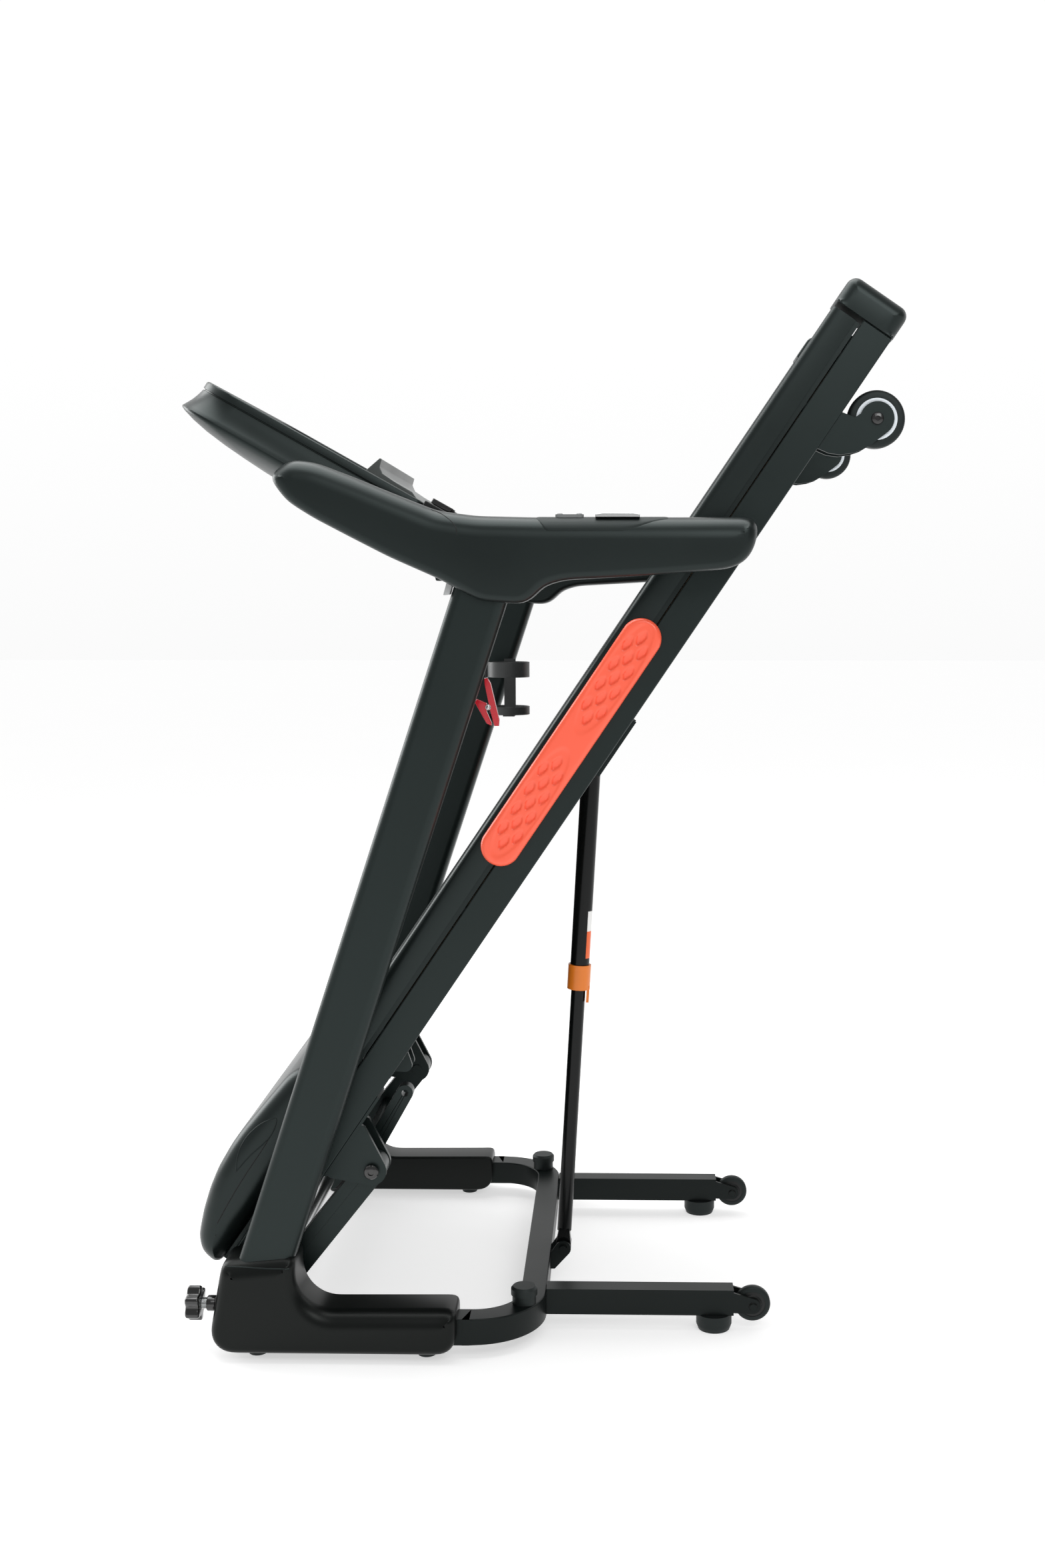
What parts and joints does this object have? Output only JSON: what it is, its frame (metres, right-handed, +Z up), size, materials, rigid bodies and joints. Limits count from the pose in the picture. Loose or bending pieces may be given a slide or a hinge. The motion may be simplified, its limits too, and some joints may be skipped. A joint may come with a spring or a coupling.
{
  "type": "folding treadmill",
  "caption": "Motorised folding treadmill stored with its deck raised, on a U-shaped base with uprights, console, handrails, lift frame, telescopic strut and rear casters.",
  "frame": {"origin": "on the floor, at the middle of the footprint of the whole stored machine", "axes": "+X to the rear, the step-on end; +Y to the far side; +Z up"},
  "size_m": [0.9945, 0.75, 1.4904],
  "materials": {
    "frame_steel": "satin powder coat",
    "dark_steel": "gloss paint",
    "bright_steel": "brushed",
    "bronze": "sintered",
    "cover_plastic": "satin moulded",
    "trim_plastic": "fine grain",
    "ledge_plastic": "satin",
    "key_plastic": "satin",
    "start_green": "satin",
    "stop_red": "satin",
    "lens": "gloss",
    "board_green": "solder mask",
    "rubber": "matt",
    "belt_rubber": "textured",
    "board_wood": "phenolic faced",
    "pad_orange": "soft touch",
    "collar_orange": "satin",
    "clip_red": "gloss",
    "cord_black": "braided",
    "knob_black": "gloss",
    "motor_metal": "cast"
  },
  "bodies": {
    "base": {"base_loop": "frame_steel", "rear_legs": "frame_steel", "base_brackets": "frame_steel", "rubber_feet": "rubber", "corner_bumpers": "rubber", "pivot_bushes": "bronze", "cover_left": "cover_plastic", "cover_right": "cover_plastic", "upright_left": "frame_steel", "upright_right": "frame_steel", "frame_bolts": "dark_steel", "handrail_left": "cover_plastic", "handrail_right": "cover_plastic", "grip_panels": "trim_plastic", "pulse_plates": "bright_steel", "console_tray": "cover_plastic", "console_panel": "trim_plastic", "display_lens": "lens", "console_board": "board_green", "tablet_ledge": "ledge_plastic", "key_socket": "trim_plastic", "bottle_cage": "trim_plastic", "safety_cord": "cord_black", "clip_body": "clip_red"},
    "deck": {"deck_rail_left": "frame_steel", "deck_rail_right": "frame_steel", "deck_crossmembers": "frame_steel", "running_board": "board_wood", "running_belt": "belt_rubber", "deck_cushions": "rubber", "foot_rails": "cover_plastic", "side_pad_left": "pad_orange", "side_pad_right": "pad_orange", "end_caps": "cover_plastic", "motor_hood": "cover_plastic", "motor_pan": "cover_plastic", "drive_motor": "motor_metal", "drive_belt": "rubber", "controller_board": "board_green"},
    "pivot_shaft": {"pivot_shaft": "bright_steel"},
    "lift_frame": {"lift_frame": "frame_steel"},
    "caster_left": {"caster_left": "rubber"},
    "caster_right": {"caster_right": "rubber"},
    "front_roller": {"front_roller": "bright_steel"},
    "rear_roller": {"rear_roller": "bright_steel"},
    "motor_pulley": {"motor_pulley": "bright_steel"},
    "leg_wheel_left": {"leg_wheel_left": "rubber"},
    "leg_wheel_right": {"leg_wheel_right": "rubber"},
    "front_knob": {"front_knob": "knob_black"},
    "strut_lower": {"strut_lower": "dark_steel"},
    "strut_upper": {"strut_upper": "dark_steel"},
    "strut_collar": {"strut_collar": "collar_orange"},
    "clip_lever": {"clip_lever": "clip_red"},
    "safety_key": {"safety_key": "knob_black"},
    "start_button": {"start_button": "start_green"},
    "stop_button": {"stop_button": "stop_red"},
    "speed_up_key": {"speed_up_key": "key_plastic"},
    "speed_down_key": {"speed_down_key": "key_plastic"},
    "handle_key_left": {"handle_key_left": "key_plastic"},
    "handle_key_right": {"handle_key_right": "key_plastic"}
  },
  "joints": [
    {"name": "fold", "type": "hinge", "parent": "base", "child": "pivot_shaft", "pos_m": [-0.4, 0, 0.05], "axis": [0, 1, 0], "range_deg": [0, 56]},
    {"name": "incline", "type": "hinge", "parent": "pivot_shaft", "child": "lift_frame", "pos_m": [-0.4, 0, 0.05], "axis": [0, -1, 0], "range_deg": [0, 15]},
    {"name": "deck_pitch", "type": "hinge", "parent": "lift_frame", "child": "deck", "pos_m": [-0.24221, 0, 0.24995], "axis": [0, 1, 0], "range_deg": [0, 18]},
    {"name": "caster_spin_left", "type": "hinge", "parent": "deck", "child": "caster_left", "pos_m": [0.45748, -0.276, 1.30339], "axis": [0, 1, 0], "continuous": true},
    {"name": "caster_spin_right", "type": "hinge", "parent": "deck", "child": "caster_right", "pos_m": [0.45748, 0.276, 1.30339], "axis": [0, 1, 0], "continuous": true},
    {"name": "front_roller_spin", "type": "hinge", "parent": "deck", "child": "front_roller", "pos_m": [-0.28161, 0, 0.40077], "axis": [0, 1, 0], "continuous": true},
    {"name": "rear_roller_spin", "type": "hinge", "parent": "deck", "child": "rear_roller", "pos_m": [0.4034, 0, 1.41634], "axis": [0, 1, 0], "continuous": true},
    {"name": "motor_spin", "type": "hinge", "parent": "deck", "child": "motor_pulley", "pos_m": [-0.39903, -0.1, 0.23028], "axis": [0, 1, 0], "continuous": true},
    {"name": "leg_wheel_spin_left", "type": "hinge", "parent": "base", "child": "leg_wheel_left", "pos_m": [0.306, -0.239, 0.038], "axis": [0, 1, 0], "continuous": true},
    {"name": "leg_wheel_spin_right", "type": "hinge", "parent": "base", "child": "leg_wheel_right", "pos_m": [0.306, 0.239, 0.038], "axis": [0, 1, 0], "continuous": true},
    {"name": "knob_turn", "type": "hinge", "parent": "base", "child": "front_knob", "pos_m": [-0.48, -0.337, 0.072], "axis": [1, 0, 0], "range_deg": [-720, 720]},
    {"name": "strut_swing", "type": "hinge", "parent": "base", "child": "strut_lower", "pos_m": [0.024, -0.08, 0.062], "axis": [0, 1, 0], "range_deg": [0, 82.69]},
    {"name": "strut_slide", "type": "slide", "parent": "strut_lower", "child": "strut_upper", "axis": [-0.0574, 0, -0.9984], "range_m": [0, 0.28336]},
    {"name": "collar_release", "type": "slide", "parent": "strut_upper", "child": "strut_collar", "axis": [0.0574, 0, 0.9984], "range_m": [0, 0.012], "stiffness_N_per_m": 400},
    {"name": "clip_squeeze", "type": "hinge", "parent": "base", "child": "clip_lever", "pos_m": [-0.07199, -0.283, 0.91191], "axis": [0, 1, 0], "range_deg": [0, 14], "stiffness_Nm_per_rad": 0.05},
    {"name": "key_pull", "type": "slide", "parent": "base", "child": "safety_key", "axis": [0.4879, 0, 0.8729], "range_m": [0, 0.03]},
    {"name": "start_press", "type": "slide", "parent": "base", "child": "start_button", "axis": [-0.4879, 0, -0.8729], "range_m": [0, 0.002], "stiffness_N_per_m": 400, "springref_m": -0.001},
    {"name": "stop_press", "type": "slide", "parent": "base", "child": "stop_button", "axis": [-0.4879, 0, -0.8729], "range_m": [0, 0.002], "stiffness_N_per_m": 400, "springref_m": -0.001},
    {"name": "speed_up_press", "type": "slide", "parent": "base", "child": "speed_up_key", "axis": [-0.4879, 0, -0.8729], "range_m": [0, 0.0015], "stiffness_N_per_m": 300, "springref_m": -0.001},
    {"name": "speed_down_press", "type": "slide", "parent": "base", "child": "speed_down_key", "axis": [-0.4879, 0, -0.8729], "range_m": [0, 0.0015], "stiffness_N_per_m": 300, "springref_m": -0.001},
    {"name": "handle_press_left", "type": "slide", "parent": "base", "child": "handle_key_left", "axis": [0, 0, -1], "range_m": [0, 0.0012], "stiffness_N_per_m": 300, "springref_m": -0.001},
    {"name": "handle_press_right", "type": "slide", "parent": "base", "child": "handle_key_right", "axis": [0, 0, -1], "range_m": [0, 0.0012], "stiffness_N_per_m": 300, "springref_m": -0.001}
  ],
  "couplings": [
    {"joint": "deck_pitch", "follows": "incline", "ratio": 1.2},
    {"joint": "strut_swing", "follows": "fold", "ratio": 1.4762},
    {"joint": "strut_slide", "follows": "fold", "m_per_rad": 0.28961},
    {"joint": "rear_roller_spin", "follows": "front_roller_spin", "ratio": 1},
    {"joint": "motor_spin", "follows": "front_roller_spin", "ratio": 1.2797}
  ]
}
